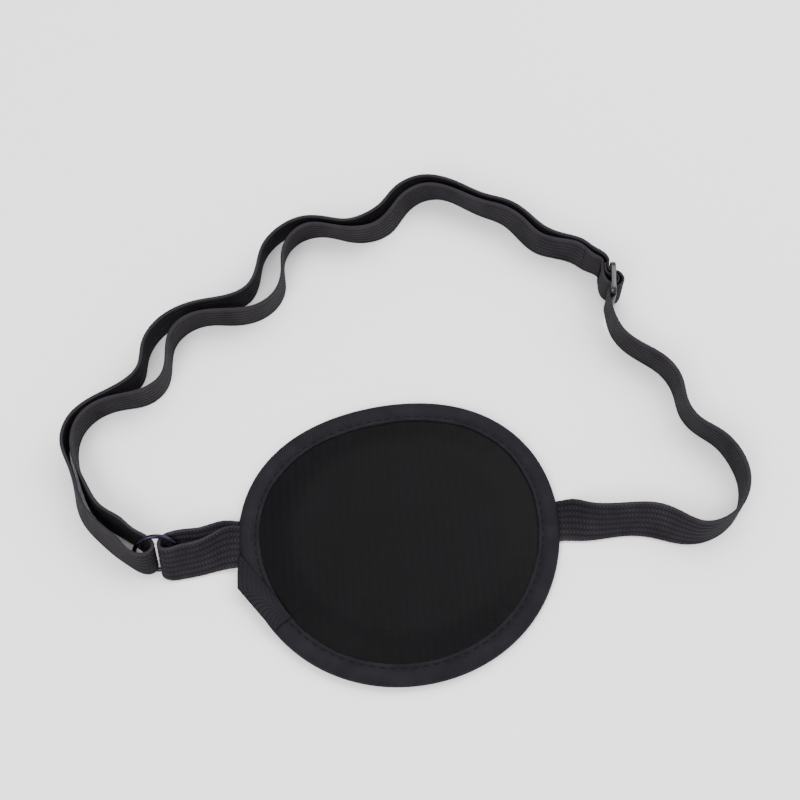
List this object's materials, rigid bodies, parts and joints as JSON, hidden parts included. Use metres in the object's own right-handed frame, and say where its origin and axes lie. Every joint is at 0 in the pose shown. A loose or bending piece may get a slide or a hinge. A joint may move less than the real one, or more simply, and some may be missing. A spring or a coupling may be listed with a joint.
{
  "type": "eye patch",
  "caption": "Padded egg-shaped eye patch with a bound edge, a ribbed elastic strap sewn to its sides, a linking ring and a slide adjuster.",
  "frame": {"origin": "middle of the patch's back, where it meets the face or a table", "axes": "+X through both strap seams towards the strap's single run, +Y towards the far side of the strap's loop, +Z out of the patch's face"},
  "size_m": [0.194, 0.1572, 0.0147],
  "materials": {
    "face": "near-black woven satin",
    "lining": "black plain woven lining",
    "foam": "soft open-cell foam",
    "binding": "black twill binding tape",
    "thread": "black sewing thread",
    "elastic": "charcoal ribbed braided elastic",
    "ring_metal": "dark plated steel wire",
    "slider_metal": "glossy black enamel"
  },
  "bodies": {
    "patch": {"face_fabric": "face", "foam_core": "foam", "lining": "lining", "edge_binding": "binding", "binding_lap": "binding", "needle_thread": "thread", "bobbin_thread": "thread", "strap_sewn_end": "elastic", "strap_stitches": "thread", "tab_sewn_end": "elastic", "tab_stitches": "thread"},
    "strap_loop": {"strap_single": "elastic", "strap_feed_in": "elastic", "strap_feed_out": "elastic", "strap_feed_back": "elastic", "strap_outer": "elastic", "strap_inner": "elastic", "strap_fold": "elastic", "tab_front": "elastic", "tab_back": "elastic", "tab_fold": "elastic"},
    "slider": {"slider": "slider_metal", "strap_in_slider": "elastic", "strap_bar_loop": "elastic", "slider_stitches": "thread"},
    "ring": {"ring": "ring_metal"}
  },
  "joints": [
    {"name": "strap_swing", "type": "hinge", "parent": "patch", "child": "strap_loop", "pos_m": [0, 0, 0.0007], "axis": [1, 0, 0], "range_deg": [-90, 180]},
    {"name": "slider_travel", "type": "slide", "parent": "strap_loop", "child": "slider", "axis": [0.1045, 0.9945, 0], "range_m": [-0.004, 0.004], "deforming": ["strap_feed_in", "strap_feed_out", "strap_feed_back"]},
    {"name": "ring_turn", "type": "hinge", "parent": "strap_loop", "child": "ring", "pos_m": [-0.0682, -0.0023, 0.00626], "axis": [0, -0.8829, 0.4695], "continuous": true}
  ]
}
